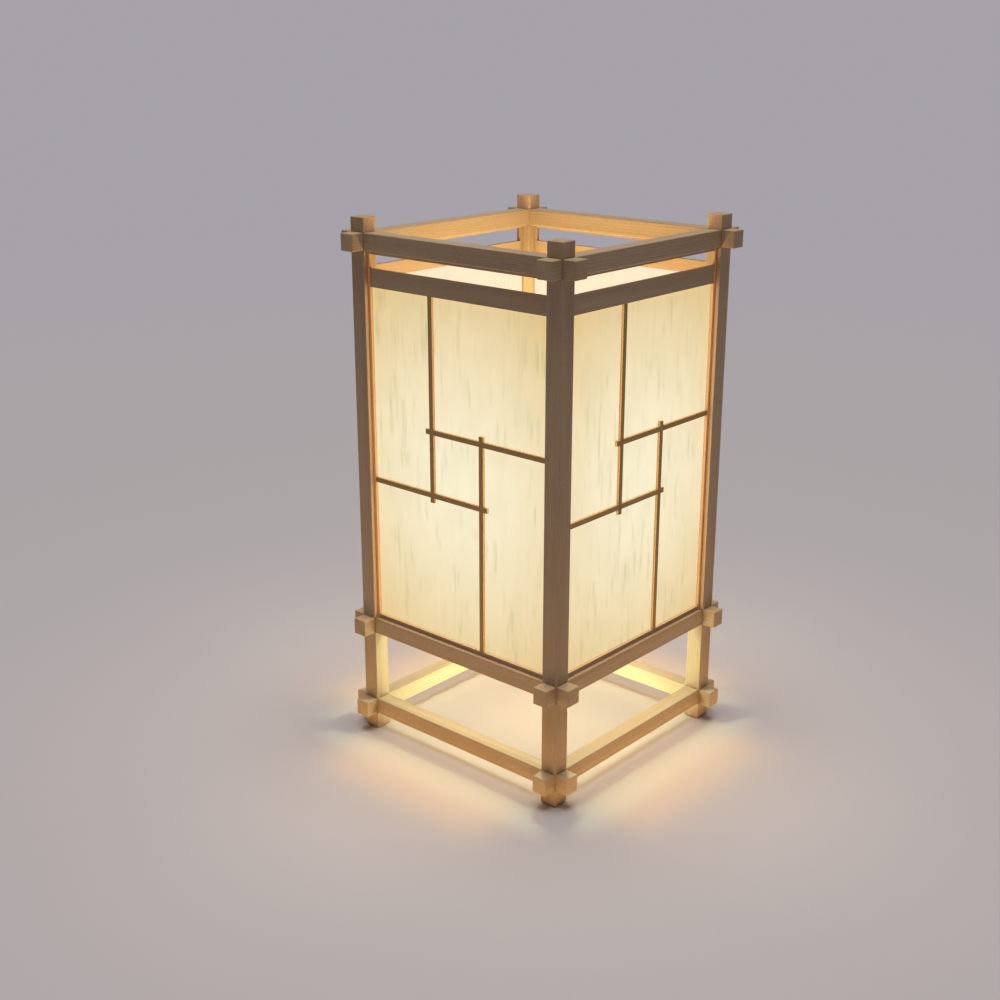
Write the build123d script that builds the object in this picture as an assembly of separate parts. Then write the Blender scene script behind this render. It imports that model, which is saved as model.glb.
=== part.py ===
"""Andon floor lamp: three lapped square frames, four post stacks and four
lattice panels backed with washi paper, round a bulb on an upright tube.

All sizes in millimetres.  Origin: middle of the footprint, on the floor.
+Z is up, the front panel faces -Y and the right-hand panel faces +X.
"""
import os
from math import cos, pi, sin

from build123d import *

# ---------------------------------------------------------------- sizes

# footprint and posts
OUTER_WIDTH = 300.0          # over the outer faces of the posts, both ways
POST_WIDTH = 20.0            # square section of every post piece
POST_BEVEL = 0.5             # eased long edges
FOOT_HEIGHT = 20.5           # floor to underside of the base frame
FOOT_BEVEL = 1.4             # worn-off edge that meets the floor
LOWER_POST_HEIGHT = 87.5     # open bay between base frame and lower frame
UPPER_POST_HEIGHT = 437.0    # panel bay between lower frame and top frame
CAP_HEIGHT = 16.5            # post end that stands above the top frame

# the three lapped frames
RAIL_WIDTH = 18.5            # seen from above
RAIL_HEIGHT = 19.5
RAIL_OVERHANG = 16.0         # rail end past the outer face of the post
RAIL_BEVEL = 0.6
LAP_CLEARANCE = 0.1          # over the length and the depth of a lap

# post tenons, which pin each lap from above and below
TENON_WIDTH = 9.0
TENON_CLEARANCE = 0.1        # each side of a tenon, and past its end
CAP_TENON = 8.0              # how far a tenon enters a cap, a foot
FOOT_TENON = 8.0
POST_TENON = 10.0            # how far the upper post enters the lower post

# lattice panels, set back in the posts
PANEL_SETBACK = 5.5          # post's outer face to the panel's outer face
PANEL_THICKNESS = 3.4
PANEL_CLEARANCE = 0.1        # each side of a stile or tongue in its groove
PANEL_TONGUE = 3.0           # depth of the sill and top rails in the frames
STILE_SHOWING = 3.0          # width of a stile outside the post's groove
STILE_GROOVE = 4.8           # depth of the groove in the post
HEAD_RAIL_HEIGHT = 20.5
HEAD_GAP = 19.5              # open slot between head rail and top frame
SILL_SHOWING = 5.0           # height of the sill rail above the lower frame
TOP_RAIL_SHOWING = 3.6       # height of the panel's top rail below the top frame
PANEL_TENON_LENGTH = 2.0     # the panel's rails into the stiles
PANEL_TENON_THICKNESS = 1.4
PANEL_TENON_SHOULDER = 0.9   # above and below such a tenon

# kumiko strips, a pinwheel of four round a square
KUMIKO_WIDTH = 5.8
KUMIKO_THICKNESS = 2.9
KUMIKO_SPACING = 73.2        # between the two uprights, and the two crossbars
KUMIKO_STUB = 5.7            # strip end past the strip that it crosses
KUMIKO_HOUSING = 2.4         # strip end let into a stile, head or sill rail
LATTICE_HEIGHT = 357.2       # floor to the middle of the pinwheel

# washi paper, pasted on the back of the panel
WASHI_THICKNESS = 0.4
WASHI_MARGIN = 0.4           # clear of the posts and of the lower frame
WASHI_HEAD_OVERLAP = 5.5     # pasted on the head rail

# cross bar that carries the lamp
BAR_WIDTH = 30.0
BAR_THICKNESS = 12.0
BAR_HOUSING = 8.0            # bar end let into the side rail
BAR_CLEARANCE = 0.2
SCREW_RADIUS = 1.5
SCREW_LENGTH = 16.0
SCREW_HEAD_RADIUS = 3.0
SCREW_HEAD_HEIGHT = 1.8
SCREW_HEAD_LAND = 0.3        # straight edge of the head above its cone
SCREW_SLOT_WIDTH = 0.8
SCREW_SLOT_DEPTH = 0.8
SCREW_CLEARANCE = 0.1

# upright tube and its two flanged nuts
PIPE_RADIUS = 5.0
PIPE_WALL = 1.2
PIPE_HOLE_CLEARANCE = 0.25
PIPE_HEIGHT = 263.0          # floor to the tube's top end
PIPE_TAIL = 3.0              # tube below the lower nut
NUT_ACROSS_FLATS = 14.0
NUT_HEIGHT = 5.0
NUT_FLANGE_RADIUS = 9.5
NUT_FLANGE_HEIGHT = 1.2
THREAD_CLEARANCE = 0.1       # stands for the meshed threads

# bush on the tube's lower end, where the cord comes in
BUSH_WALL = 2.4
BUSH_COLLAR = 6.0
BUSH_LIP = 4.0
CORD_INLET_RADIUS = 3.5

# lampholder for an E26 bulb
HOLDER_SOCKET_DEPTH = 8.0    # how far the tube enters the holder
HOLDER_NECK_RADIUS = 9.0
HOLDER_NECK_HEIGHT = 9.5
HOLDER_FLARE_HEIGHT = 9.0
HOLDER_WALL = 4.3            # round the well
HOLDER_RIM_STEP = 1.1        # rim past the wall
HOLDER_RIM_HEIGHT = 4.0
HOLDER_FLOOR_HEIGHT = 15.5   # holder's foot to the floor of its well
HOLDER_HEIGHT = 45.0
HOLDER_WIRE_HOLE = 3.0
SHELL_AIR = 1.4              # screw shell to the wall of the well
SHELL_WALL = 0.5
SHELL_HEIGHT = 25.0
SHELL_FLANGE_HOLE = 7.0
CONTACT_RADIUS = 4.0
CONTACT_HEIGHT = 6.0

# bulb
BULB_RADIUS = 30.0
BULB_SHOULDER = 52.2         # screw cap's top to the middle of the globe
BULB_WALL = 1.0
BULB_CEMENT = 0.3            # between the globe's neck and the screw cap
BULB_NECK_DEPTH = 8.0        # neck inside the screw cap
BULB_CAP_RADIUS = 13.0
BULB_CAP_WALL = 0.4
BULB_CAP_HEIGHT = 24.0
BULB_TIP_RADIUS = 4.5
BULB_TIP_HEIGHT = 1.0
BULB_INSULATOR_RADIUS = 9.5
BULB_INSULATOR_HEIGHT = 3.0
BULB_INSULATOR_GAP = 0.3     # insulator to the hole in the screw cap
BULB_SEAT_GAP = 0.3          # bulb's tip to the centre contact
BULB_THREAD_GAP = 0.3        # screw cap to the screw shell

# ------------------------------------------------- places from the sizes

HALF = OUTER_WIDTH / 2
POST_CENTRE = HALF - POST_WIDTH / 2
POST_INNER = HALF - POST_WIDTH
RAIL_INNER = POST_CENTRE - RAIL_WIDTH / 2
RAIL_END = HALF + RAIL_OVERHANG

BASE_FRAME_Z = FOOT_HEIGHT
LOWER_POST_Z = BASE_FRAME_Z + RAIL_HEIGHT
LOWER_FRAME_Z = LOWER_POST_Z + LOWER_POST_HEIGHT
PANEL_Z = LOWER_FRAME_Z + RAIL_HEIGHT
TOP_FRAME_Z = PANEL_Z + UPPER_POST_HEIGHT
CAP_Z = TOP_FRAME_Z + RAIL_HEIGHT

PANEL_FACE = HALF - PANEL_SETBACK
PANEL_BACK = PANEL_FACE - PANEL_THICKNESS
STILE_INNER = POST_INNER - STILE_SHOWING
HEAD_TOP = TOP_FRAME_Z - HEAD_GAP
HEAD_BOTTOM = HEAD_TOP - HEAD_RAIL_HEIGHT
SILL_TOP = PANEL_Z + SILL_SHOWING
SLOT_TOP = TOP_FRAME_Z - TOP_RAIL_SHOWING

BAR_Z = PANEL_Z - BAR_THICKNESS
BAR_END = RAIL_INNER + BAR_HOUSING
SCREW_X = RAIL_INNER + BAR_HOUSING / 2

PIPE_BOTTOM = BAR_Z - NUT_HEIGHT - NUT_FLANGE_HEIGHT - PIPE_TAIL - BUSH_COLLAR
HOLDER_Z = PIPE_HEIGHT - HOLDER_SOCKET_DEPTH
HOLDER_FLOOR_Z = HOLDER_Z + HOLDER_FLOOR_HEIGHT
SHELL_RADIUS = BULB_CAP_RADIUS + BULB_THREAD_GAP
HOLDER_WELL_RADIUS = SHELL_RADIUS + SHELL_WALL + SHELL_AIR
HOLDER_RADIUS = HOLDER_WELL_RADIUS + HOLDER_WALL
HOLDER_RIM_RADIUS = HOLDER_RADIUS + HOLDER_RIM_STEP
BULB_TIP_Z = HOLDER_FLOOR_Z + CONTACT_HEIGHT + BULB_SEAT_GAP
BULB_CAP_Z = BULB_TIP_Z + BULB_TIP_HEIGHT + BULB_INSULATOR_HEIGHT
BULB_CAP_TOP = BULB_CAP_Z + BULB_CAP_HEIGHT
BULB_CENTRE = BULB_CAP_TOP + BULB_SHOULDER
BULB_NECK_RADIUS = BULB_CAP_RADIUS - BULB_CAP_WALL - BULB_CEMENT

SIDES = ["front", "right", "back", "left"]      # each a quarter turn further
QUARTER_TURN = 90
CORNERS = {
    "front_left": (-1, -1),
    "front_right": (1, -1),
    "back_right": (1, 1),
    "back_left": (-1, 1),
}


# ------------------------------------------------------------- small tools

def block(x0, x1, y0, y1, z0, z1):
    """Box between two opposite corners."""
    middle = ((x0 + x1) / 2, (y0 + y1) / 2, (z0 + z1) / 2)
    return Pos(*middle) * Box(abs(x1 - x0), abs(y1 - y0), abs(z1 - z0))


def eased(solid, size):
    """The same solid with every edge bevelled."""
    return chamfer(solid.edges(), size)


def turned(profile):
    """Solid of revolution about Z from a closed list of (radius, height)."""
    points = [(radius, 0, height) for radius, height in profile]
    face = make_face(Polyline(*points, close=True))
    return revolve(face, Axis.Z)


def ring(inner, outer, z0, z1):
    """Plain tube about Z."""
    return turned([(inner, z0), (outer, z0), (outer, z1), (inner, z1)])


def to_side(solid, side):
    """Turns a piece of the front panel round to another side."""
    return Rot(0, 0, QUARTER_TURN * SIDES.index(side)) * solid


def save(name, *solids):
    """Writes one node, of one solid or of a group of separate solids."""
    loose = []
    for solid in solids:
        loose.extend(solid.solids())
    shape = loose[0] if len(loose) == 1 else Compound(children=loose)
    shape.label = name
    export_step(shape, f"parts/{name}.step")


# ------------------------------------------------------------ lapped frames

def rail_along_x(z0):
    """Front rail of a frame: its laps are cut from above, its tenon holes
    go right through, and its ends run past the posts."""
    y0 = -POST_CENTRE - RAIL_WIDTH / 2
    rail = eased(block(-RAIL_END, RAIL_END, y0, y0 + RAIL_WIDTH, z0, z0 + RAIL_HEIGHT), RAIL_BEVEL)
    lap_half = (RAIL_WIDTH + LAP_CLEARANCE) / 2
    lap_floor = z0 + (RAIL_HEIGHT - LAP_CLEARANCE) / 2
    for corner_x in (-POST_CENTRE, POST_CENTRE):
        rail -= block(corner_x - lap_half, corner_x + lap_half, y0, y0 + RAIL_WIDTH,
                      lap_floor, z0 + RAIL_HEIGHT)
        rail -= tenon_hole(corner_x, -POST_CENTRE, z0, z0 + RAIL_HEIGHT)
    return rail


def rail_along_y(z0):
    """Right-hand rail of a frame: its laps are cut from below."""
    x0 = POST_CENTRE - RAIL_WIDTH / 2
    rail = eased(block(x0, x0 + RAIL_WIDTH, -RAIL_END, RAIL_END, z0, z0 + RAIL_HEIGHT), RAIL_BEVEL)
    lap_half = (RAIL_WIDTH + LAP_CLEARANCE) / 2
    lap_ceiling = z0 + RAIL_HEIGHT / 2
    for corner_y in (-POST_CENTRE, POST_CENTRE):
        rail -= block(x0, x0 + RAIL_WIDTH, corner_y - lap_half, corner_y + lap_half,
                      z0, lap_ceiling)
        rail -= tenon_hole(POST_CENTRE, corner_y, z0, z0 + RAIL_HEIGHT)
    return rail


def tenon_hole(x, y, z0, z1):
    """Square hole for a post's tenon."""
    half = TENON_WIDTH / 2 + TENON_CLEARANCE
    return block(x - half, x + half, y - half, y + half, z0, z1)


def tenon(x, y, z0, z1):
    half = TENON_WIDTH / 2
    return block(x - half, x + half, y - half, y + half, z0, z1)


def frame_rails(z0):
    """The four rails of one lapped frame, by side."""
    front = rail_along_x(z0)
    right = rail_along_y(z0)
    half_turn = Rot(0, 0, 2 * QUARTER_TURN)
    return {"front": front, "right": right, "back": half_turn * front, "left": half_turn * right}


def panel_groove(side, z0, z1):
    """Groove along a lower or top rail, which takes a tongue of the panel."""
    y0 = -PANEL_FACE - PANEL_CLEARANCE
    y1 = -PANEL_BACK + PANEL_CLEARANCE
    return to_side(block(-STILE_INNER, STILE_INNER, y0, y1, z0, z1), side)


def bar_housing(sign):
    """Pocket in the inner top edge of a side rail, for the cross bar's end."""
    half = BAR_WIDTH / 2 + BAR_CLEARANCE / 2
    pocket = block(sign * RAIL_INNER, sign * BAR_END, -half, half, BAR_Z, PANEL_Z)
    return pocket + Pos(sign * SCREW_X, 0, 0) * screw_form(SCREW_CLEARANCE)


# -------------------------------------------------------------- post stacks

def stile_groove(x_sign, y_sign):
    """The two grooves of a corner post, one for each panel that it holds."""
    z0 = PANEL_Z
    z1 = TOP_FRAME_Z
    near = PANEL_BACK - PANEL_CLEARANCE
    far = PANEL_FACE + PANEL_CLEARANCE
    groove_floor = POST_INNER + STILE_GROOVE
    for_front_or_back = block(x_sign * POST_INNER, x_sign * groove_floor,
                              y_sign * near, y_sign * far, z0, z1)
    for_left_or_right = block(x_sign * near, x_sign * far,
                              y_sign * POST_INNER, y_sign * groove_floor, z0, z1)
    return [for_front_or_back, for_left_or_right]


def post_block(x, y, z0, z1, bevel=POST_BEVEL):
    half = POST_WIDTH / 2
    return eased(block(x - half, x + half, y - half, y + half, z0, z1), bevel)


def upper_post(x_sign, y_sign):
    """Post beside the panels.  A tenon at each end pins a lapped frame."""
    x = x_sign * POST_CENTRE
    y = y_sign * POST_CENTRE
    post = post_block(x, y, PANEL_Z, TOP_FRAME_Z)
    for groove in stile_groove(x_sign, y_sign):
        post -= groove
    post += tenon(x, y, TOP_FRAME_Z, CAP_Z + CAP_TENON)
    post += tenon(x, y, LOWER_FRAME_Z - POST_TENON, PANEL_Z)
    return post


def lower_post(x_sign, y_sign):
    """Post of the open bay: a tenon below, a mortise above."""
    x = x_sign * POST_CENTRE
    y = y_sign * POST_CENTRE
    post = post_block(x, y, LOWER_POST_Z, LOWER_FRAME_Z)
    post += tenon(x, y, BASE_FRAME_Z - FOOT_TENON, LOWER_POST_Z)
    post -= tenon_hole(x, y, LOWER_FRAME_Z - POST_TENON - TENON_CLEARANCE, LOWER_FRAME_Z)
    return post


def post_cap(x_sign, y_sign):
    """Block glued on the tenon above the top frame."""
    x = x_sign * POST_CENTRE
    y = y_sign * POST_CENTRE
    cap = post_block(x, y, CAP_Z, CAP_Z + CAP_HEIGHT, RAIL_BEVEL)
    return cap - tenon_hole(x, y, CAP_Z, CAP_Z + CAP_TENON + TENON_CLEARANCE)


def foot(x_sign, y_sign):
    """Block under the base frame, with its floor edges worn back."""
    x = x_sign * POST_CENTRE
    y = y_sign * POST_CENTRE
    half = POST_WIDTH / 2
    body = block(x - half, x + half, y - half, y + half, 0, FOOT_HEIGHT)
    body = chamfer(body.edges().group_by(Axis.Z)[0], FOOT_BEVEL)
    return body - tenon_hole(x, y, FOOT_HEIGHT - FOOT_TENON - TENON_CLEARANCE, FOOT_HEIGHT)


# ----------------------------------------------------------- lattice panels
# Each is made as the front panel, facing -Y, and turned to its side.

KUMIKO_BACK_Y = -PANEL_BACK
KUMIKO_FACE_Y = KUMIKO_BACK_Y - KUMIKO_THICKNESS
KUMIKO_MIDDLE_Y = (KUMIKO_BACK_Y + KUMIKO_FACE_Y) / 2
KUMIKO_HALF = KUMIKO_WIDTH / 2
KUMIKO_LEFT = -KUMIKO_SPACING / 2
KUMIKO_RIGHT = KUMIKO_SPACING / 2
KUMIKO_LOW = LATTICE_HEIGHT - KUMIKO_SPACING / 2
KUMIKO_HIGH = LATTICE_HEIGHT + KUMIKO_SPACING / 2
KUMIKO_REACH = KUMIKO_HALF + KUMIKO_STUB


def upright(x, z0, z1):
    """Upright kumiko strip, halved from behind where the crossbars pass."""
    strip = block(x - KUMIKO_HALF, x + KUMIKO_HALF, KUMIKO_FACE_Y, KUMIKO_BACK_Y, z0, z1)
    for z in (KUMIKO_LOW, KUMIKO_HIGH):
        strip -= block(x - KUMIKO_HALF, x + KUMIKO_HALF, KUMIKO_MIDDLE_Y, KUMIKO_BACK_Y,
                       z - KUMIKO_HALF, z + KUMIKO_HALF)
    return strip


def crossbar(z, x0, x1):
    """Level kumiko strip, halved from the face where the uprights pass."""
    strip = block(x0, x1, KUMIKO_FACE_Y, KUMIKO_BACK_Y, z - KUMIKO_HALF, z + KUMIKO_HALF)
    for x in (KUMIKO_LEFT, KUMIKO_RIGHT):
        strip -= block(x - KUMIKO_HALF, x + KUMIKO_HALF, KUMIKO_FACE_Y, KUMIKO_MIDDLE_Y,
                       z - KUMIKO_HALF, z + KUMIKO_HALF)
    return strip


def kumiko_uprights():
    """The left one hangs from the head rail, the right one stands on the sill."""
    hanging = upright(KUMIKO_LEFT, KUMIKO_LOW - KUMIKO_REACH, HEAD_BOTTOM + KUMIKO_HOUSING)
    standing = upright(KUMIKO_RIGHT, SILL_TOP - KUMIKO_HOUSING, KUMIKO_HIGH + KUMIKO_REACH)
    return [hanging, standing]


def kumiko_crossbars():
    """The upper one runs to the right stile, the lower one to the left stile."""
    upper = crossbar(KUMIKO_HIGH, KUMIKO_LEFT - KUMIKO_REACH, STILE_INNER + KUMIKO_HOUSING)
    lower = crossbar(KUMIKO_LOW, -STILE_INNER - KUMIKO_HOUSING, KUMIKO_RIGHT + KUMIKO_REACH)
    return [upper, lower]


def kumiko_housing(x0, x1, z0, z1):
    """Notch in the back of a panel member for a strip's end."""
    return block(x0, x1, KUMIKO_FACE_Y, KUMIKO_BACK_Y, z0, z1)


def panel_tenon(x0, x1, z0, z1, clearance=0.0):
    """Stub tenon of a panel's rail, in the middle of the thickness."""
    middle = -(PANEL_FACE + PANEL_BACK) / 2
    half = PANEL_TENON_THICKNESS / 2 + clearance
    return block(x0, x1, middle - half, middle + half, z0 - clearance, z1 + clearance)


def panel_rail(z0, z1, tenon_z0, tenon_z1):
    """Level member between the stiles, with a stub tenon at each end."""
    rail = block(-STILE_INNER, STILE_INNER, -PANEL_FACE, -PANEL_BACK, z0, z1)
    for sign in (-1, 1):
        rail += panel_tenon(sign * STILE_INNER, sign * (STILE_INNER + PANEL_TENON_LENGTH),
                            tenon_z0, tenon_z1)
    return rail


TOP_TENON = (SLOT_TOP + PANEL_TENON_SHOULDER, TOP_FRAME_Z - PANEL_TENON_SHOULDER)
HEAD_TENON = (HEAD_BOTTOM + PANEL_TENON_SHOULDER, HEAD_TOP - PANEL_TENON_SHOULDER)
SILL_TENON = (PANEL_Z + PANEL_TENON_SHOULDER, SILL_TOP - PANEL_TENON_SHOULDER)


def thin_top_rail():
    """Top member of a panel, above the open slot, its tongue in the top frame."""
    return panel_rail(SLOT_TOP, TOP_FRAME_Z + PANEL_TONGUE, *TOP_TENON)


def head_rail():
    rail = panel_rail(HEAD_BOTTOM, HEAD_TOP, *HEAD_TENON)
    return rail - kumiko_housing(KUMIKO_LEFT - KUMIKO_HALF, KUMIKO_LEFT + KUMIKO_HALF,
                                 HEAD_BOTTOM, HEAD_BOTTOM + KUMIKO_HOUSING)


def sill_rail():
    rail = panel_rail(PANEL_Z - PANEL_TONGUE, SILL_TOP, *SILL_TENON)
    return rail - kumiko_housing(KUMIKO_RIGHT - KUMIKO_HALF, KUMIKO_RIGHT + KUMIKO_HALF,
                                 SILL_TOP - KUMIKO_HOUSING, SILL_TOP)


def stile(sign):
    """Upright member of a panel, its outer part in the post's groove."""
    outer = POST_INNER + STILE_GROOVE - PANEL_CLEARANCE
    member = block(sign * STILE_INNER, sign * outer, -PANEL_FACE, -PANEL_BACK, PANEL_Z, TOP_FRAME_Z)
    mortise_end = sign * (STILE_INNER + PANEL_TENON_LENGTH + PANEL_CLEARANCE)
    for tenon_z0, tenon_z1 in (TOP_TENON, HEAD_TENON, SILL_TENON):
        member -= panel_tenon(sign * STILE_INNER, mortise_end, tenon_z0, tenon_z1, PANEL_CLEARANCE)
    crossbar_z = KUMIKO_HIGH if sign > 0 else KUMIKO_LOW
    member -= kumiko_housing(sign * STILE_INNER, sign * (STILE_INNER + KUMIKO_HOUSING),
                             crossbar_z - KUMIKO_HALF, crossbar_z + KUMIKO_HALF)
    return member


def washi():
    """Sheet of paper pasted flat on the back of the lattice."""
    half = POST_INNER - WASHI_MARGIN
    return block(-half, half, -PANEL_BACK, -PANEL_BACK + WASHI_THICKNESS,
                 PANEL_Z + WASHI_MARGIN, HEAD_BOTTOM + WASHI_HEAD_OVERLAP)


# ------------------------------------------------- cross bar, tube and nuts

def cross_bar():
    half = BAR_WIDTH / 2
    end = BAR_END - BAR_CLEARANCE
    bar = block(-end, end, -half, half, BAR_Z, PANEL_Z)
    bar = chamfer(bar.edges().filter_by(Axis.X), RAIL_BEVEL)
    bar -= Pos(0, 0, BAR_Z + BAR_THICKNESS / 2) * Cylinder(PIPE_RADIUS + PIPE_HOLE_CLEARANCE,
                                                           BAR_THICKNESS)
    for sign in (-1, 1):
        bar -= Pos(sign * SCREW_X, 0, 0) * screw_form(SCREW_CLEARANCE)
    return bar


def screw_form(clearance=0.0):
    """Countersunk wood screw about Z, its head flush with the bar's top.
    With a clearance it is the hole for that screw."""
    top = PANEL_Z
    shank = SCREW_RADIUS + clearance
    head = SCREW_HEAD_RADIUS + clearance
    tip = top - SCREW_LENGTH - clearance
    taper = 2 * SCREW_RADIUS
    return turned([(0, tip), (shank, tip + taper), (shank, top - SCREW_HEAD_HEIGHT),
                   (head, top - SCREW_HEAD_LAND), (head, top), (0, top)])


def bar_screw(sign):
    slot = block(-SCREW_HEAD_RADIUS, SCREW_HEAD_RADIUS, -SCREW_SLOT_WIDTH / 2, SCREW_SLOT_WIDTH / 2,
                 PANEL_Z - SCREW_SLOT_DEPTH, PANEL_Z)
    return Pos(sign * SCREW_X, 0, 0) * (screw_form() - slot)


def lamp_pipe():
    return ring(PIPE_RADIUS - PIPE_WALL, PIPE_RADIUS, PIPE_BOTTOM, PIPE_HEIGHT)


def flanged_nut(z, direction):
    """Hexagon nut with its flange at height z, its body away from the bar."""
    circumradius = NUT_ACROSS_FLATS / 2 / cos(pi / 6)
    hexagon = extrude(RegularPolygon(circumradius, 6), NUT_HEIGHT)
    hexagon &= turned([(0, 0), (circumradius, 0), (circumradius, NUT_HEIGHT - NUT_FLANGE_HEIGHT / 2),
                       (NUT_ACROSS_FLATS / 2, NUT_HEIGHT), (0, NUT_HEIGHT)])
    flange = ring(0.0, NUT_FLANGE_RADIUS, -NUT_FLANGE_HEIGHT, 0)
    nut = Pos(0, 0, NUT_FLANGE_HEIGHT) * (hexagon + flange)
    nut -= Cylinder(PIPE_RADIUS + THREAD_CLEARANCE, 4 * NUT_HEIGHT)
    if direction < 0:
        nut = Rot(2 * QUARTER_TURN, 0, 0) * nut
    return Pos(0, 0, z) * nut


def cord_bush():
    """Bush on the tube's lower end: a collar, and a lip with the cord's hole."""
    collar_inner = PIPE_RADIUS + THREAD_CLEARANCE
    outer = PIPE_RADIUS + BUSH_WALL
    lip_bottom = PIPE_BOTTOM - BUSH_LIP
    return turned([(CORD_INLET_RADIUS, lip_bottom), (outer - POST_BEVEL, lip_bottom),
                   (outer, lip_bottom + POST_BEVEL), (outer, PIPE_BOTTOM + BUSH_COLLAR),
                   (collar_inner, PIPE_BOTTOM + BUSH_COLLAR), (collar_inner, PIPE_BOTTOM),
                   (CORD_INLET_RADIUS, PIPE_BOTTOM)])


# ------------------------------------------------------ lampholder and bulb

def lampholder_body():
    """Moulded cup with a threaded neck for the tube."""
    z = HOLDER_Z
    neck_top = z + HOLDER_NECK_HEIGHT
    flare_top = neck_top + HOLDER_FLARE_HEIGHT
    rim = z + HOLDER_HEIGHT
    bore = PIPE_RADIUS + THREAD_CLEARANCE
    socket_top = PIPE_HEIGHT + THREAD_CLEARANCE
    return turned([(bore, z), (HOLDER_NECK_RADIUS, z), (HOLDER_NECK_RADIUS, neck_top),
                   (HOLDER_RADIUS, flare_top), (HOLDER_RADIUS, rim - HOLDER_RIM_HEIGHT),
                   (HOLDER_RIM_RADIUS, rim - HOLDER_RIM_HEIGHT), (HOLDER_RIM_RADIUS, rim),
                   (HOLDER_WELL_RADIUS, rim), (HOLDER_WELL_RADIUS, HOLDER_FLOOR_Z),
                   (HOLDER_WIRE_HOLE, HOLDER_FLOOR_Z), (HOLDER_WIRE_HOLE, socket_top),
                   (bore, socket_top)])


def screw_shell():
    """Brass shell of the holder, with a flange on the floor of the well."""
    z = HOLDER_FLOOR_Z
    outer = SHELL_RADIUS + SHELL_WALL
    return turned([(SHELL_FLANGE_HOLE, z), (outer, z), (outer, z + SHELL_HEIGHT),
                   (SHELL_RADIUS, z + SHELL_HEIGHT), (SHELL_RADIUS, z + SHELL_WALL),
                   (SHELL_FLANGE_HOLE, z + SHELL_WALL)])


def centre_contact():
    z = HOLDER_FLOOR_Z
    step = CONTACT_HEIGHT / 2
    return turned([(0, z), (CONTACT_RADIUS, z), (CONTACT_RADIUS, z + step),
                   (CONTACT_RADIUS / 2, z + CONTACT_HEIGHT), (0, z + CONTACT_HEIGHT)])


def bulb_cap():
    """Pressed screw cap, turned in at its foot round the insulator."""
    z = BULB_CAP_Z
    hole = BULB_INSULATOR_RADIUS + BULB_INSULATOR_GAP
    inner = BULB_CAP_RADIUS - BULB_CAP_WALL
    return turned([(hole, z), (BULB_CAP_RADIUS, z), (BULB_CAP_RADIUS, BULB_CAP_TOP),
                   (inner, BULB_CAP_TOP), (inner, z + BULB_CAP_WALL), (hole, z + BULB_CAP_WALL)])


def bulb_contact():
    """Insulating cone under the cap, with the solder button at its tip."""
    tip = BULB_TIP_Z
    cone = tip + BULB_TIP_HEIGHT
    return turned([(0, tip), (BULB_TIP_RADIUS, tip), (BULB_TIP_RADIUS, cone),
                   (BULB_INSULATOR_RADIUS, BULB_CAP_Z),
                   (BULB_INSULATOR_RADIUS, BULB_CAP_Z + BULB_CAP_WALL),
                   (0, BULB_CAP_Z + BULB_CAP_WALL)])


def globe_wire(inset):
    """Half outline of the globe, smaller by inset: neck, shoulder and dome."""
    neck = BULB_NECK_RADIUS - inset
    radius = BULB_RADIUS - inset
    neck_bottom = BULB_CAP_TOP - BULB_NECK_DEPTH
    shoulder = BULB_CENTRE
    at_neck = (neck, 0, neck_bottom)
    neck_top = (neck, 0, BULB_CAP_TOP)
    at_shoulder = (radius, 0, shoulder)
    top = (0, 0, shoulder + radius)
    dome_middle = (radius * sin(pi / 4), 0, shoulder + radius * cos(pi / 4))
    flank = Spline(neck_top, at_shoulder, tangents=[(0, 0, 1), (0, 0, 1)])
    return at_neck, top, [Line(at_neck, neck_top), flank, ThreePointArc(at_shoulder, dome_middle, top)]


def bulb_globe():
    outer_start, outer_top, outer_edges = globe_wire(0.0)
    inner_start, inner_top, inner_edges = globe_wire(BULB_WALL)
    edges = outer_edges + inner_edges + [Line(outer_start, inner_start), Line(outer_top, inner_top)]
    return revolve(make_face(edges), Axis.Z)


# ------------------------------------------------------------------- output

os.makedirs("parts", exist_ok=True)

frames = {
    "base_rail": frame_rails(BASE_FRAME_Z),
    "lower_rail": frame_rails(LOWER_FRAME_Z),
    "top_rail": frame_rails(TOP_FRAME_Z),
}
for side in SIDES:
    frames["lower_rail"][side] -= panel_groove(side, PANEL_Z - PANEL_TONGUE, PANEL_Z)
    frames["top_rail"][side] -= panel_groove(side, TOP_FRAME_Z, TOP_FRAME_Z + PANEL_TONGUE)
frames["lower_rail"]["right"] -= bar_housing(1)
frames["lower_rail"]["left"] -= bar_housing(-1)
for level, rails in frames.items():
    for side, rail in rails.items():
        save(f"{level}_{side}", rail)

for corner, signs in CORNERS.items():
    save(f"upper_post_{corner}", upper_post(*signs))
    save(f"lower_post_{corner}", lower_post(*signs))
save("post_caps", *[post_cap(*signs) for signs in CORNERS.values()])
save("feet", *[foot(*signs) for signs in CORNERS.values()])

panel_pieces = {
    "left_stile": [stile(-1)],
    "right_stile": [stile(1)],
    "head_rails": [head_rail(), thin_top_rail()],
    "sill_rail": [sill_rail()],
    "kumiko_uprights": kumiko_uprights(),
    "kumiko_crossbars": kumiko_crossbars(),
    "washi": [washi()],
}
for side in SIDES:
    for piece, solids in panel_pieces.items():
        save(f"{side}_panel_{piece}", *[to_side(solid, side) for solid in solids])

save("cross_bar", cross_bar())
save("cross_bar_screws", bar_screw(-1), bar_screw(1))
save("lamp_pipe", lamp_pipe())
save("pipe_nuts", flanged_nut(PANEL_Z, 1), flanged_nut(BAR_Z, -1))
save("cord_bush", cord_bush())
save("lampholder_body", lampholder_body())
save("lampholder_contacts", screw_shell(), centre_contact())
save("bulb_cap", bulb_cap())
save("bulb_contact", bulb_contact())
save("bulb_globe", bulb_globe())
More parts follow.
